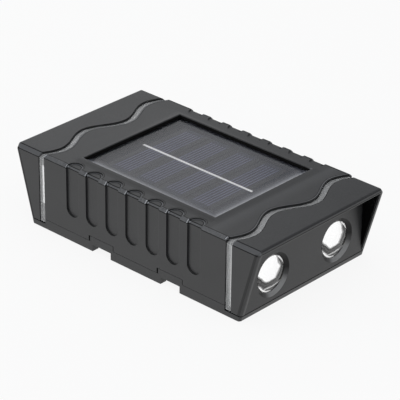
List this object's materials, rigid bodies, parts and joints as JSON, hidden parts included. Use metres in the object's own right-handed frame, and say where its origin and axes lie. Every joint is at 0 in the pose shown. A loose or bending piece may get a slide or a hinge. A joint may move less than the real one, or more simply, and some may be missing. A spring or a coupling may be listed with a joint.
{
  "type": "fence light",
  "caption": "Solar wall and fence light lying on its back, with a solar panel on the front, a hooded lens end at each end, wavy clear light strips and a clip-on wall plate.",
  "frame": {"origin": "centre of the back, on the wall's face", "axes": "+Z out of the wall through the solar panel, +X along the length from lens end to lens end"},
  "size_m": [0.1426, 0.08, 0.0366],
  "materials": {
    "shell_plastic": "fine moulded texture, satin",
    "clear_strip": "clear moulded plastic, glossy",
    "lens": "clear moulded plastic, glossy",
    "reflector": "bright white",
    "panel_glaze": "clear epoxy face, glossy",
    "solar_cell": "dark silicon with fine silver lines",
    "ribbon": "tinned ribbon",
    "seal_rubber": "matt black",
    "backing": "black board",
    "screw_steel": "zinc plated",
    "contact_metal": "nickel plated",
    "board_white": "white solder mask",
    "led_package": "yellow phosphor in a white package",
    "board_green": "green solder mask",
    "component_black": "black moulded plastic",
    "cell_sleeve": "blue shrink sleeve",
    "knob_plastic": "white moulded plastic",
    "wire_red": "insulated wire"
  },
  "bodies": {
    "body": {"main_cover": "shell_plastic", "hood_right": "shell_plastic", "hood_left": "shell_plastic", "light_strip_right": "clear_strip", "light_strip_left": "clear_strip", "lens_right_near": "lens", "lens_right_far": "lens", "lens_left_near": "lens", "lens_left_far": "lens", "panel_glaze": "panel_glaze", "solar_cells": "solar_cell", "cell_ribbon": "ribbon", "panel_seal": "seal_rubber", "rear_housing": "shell_plastic", "wall_plate": "shell_plastic", "housing_gasket": "seal_rubber", "case_screws": "screw_steel", "solar_backing": "backing", "reflector_right_near": "reflector", "reflector_right_far": "reflector", "reflector_left_near": "reflector", "reflector_left_far": "reflector", "led_board_right": "board_white", "led_board_left": "board_white", "led_chips_right": "led_package", "led_chips_left": "led_package", "side_light_board_right_near": "board_white", "side_light_board_right_far": "board_white", "side_light_board_left_near": "board_white", "side_light_board_left_far": "board_white", "side_light_leds_right": "led_package", "side_light_leds_left": "led_package", "control_board": "board_green", "board_components": "component_black", "battery_holder": "component_black", "battery_cell": "cell_sleeve", "contact_spring": "screw_steel", "spring_plate": "contact_metal", "contact_plate": "contact_metal", "switch_body": "component_black", "panel_leads": "wire_red", "led_leads_right": "wire_red", "led_leads_left": "wire_red", "battery_leads": "wire_red"},
    "knob": {"switch_knob": "knob_plastic"}
  },
  "joints": [
    {"name": "switch_slide", "type": "slide", "parent": "body", "child": "knob", "axis": [1, 0, 0], "range_m": [0, 0.003]}
  ]
}
